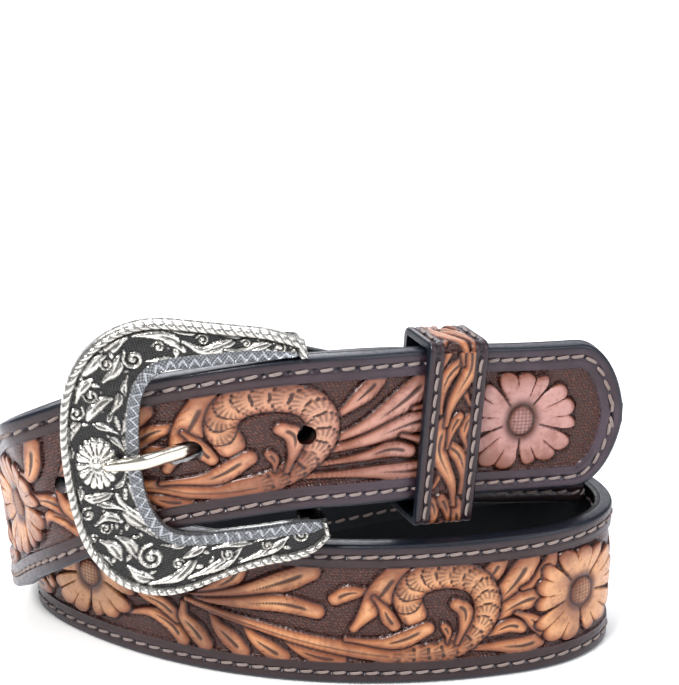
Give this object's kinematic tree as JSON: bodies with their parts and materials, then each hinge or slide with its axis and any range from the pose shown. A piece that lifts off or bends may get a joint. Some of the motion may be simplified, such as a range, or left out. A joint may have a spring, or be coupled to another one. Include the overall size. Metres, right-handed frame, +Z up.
{
  "type": "tooled western belt",
  "caption": "Floral tooled leather western belt, buckled and coiled on its edge, with an engraved antique silver C buckle.",
  "frame": {"origin": "middle of the whole part's bounding box, at its bottom, on the surface that the coil stands on", "axes": "+Z up, -Y toward the viewer of the buckle and the tooled front run, +X along that run toward the belt's tip"},
  "size_m": [0.1608, 0.0848, 0.0985],
  "materials": {
    "tooled_leather": "hand-tooled and dyed tan to dark brown, semi-gloss",
    "lining_leather": "smooth blue-black, semi-gloss",
    "keeper_leather": "tooled, dark stitched borders",
    "antique_silver": "antiqued silver plate on a cast frame, black in the recesses",
    "prong_metal": "polished, warm nickel"
  },
  "bodies": {
    "root": {"tooled_strap": "tooled_leather", "lining": "lining_leather", "keeper": "keeper_leather", "buckle_frame": "antique_silver", "prong": "prong_metal"}
  },
  "joints": []
}
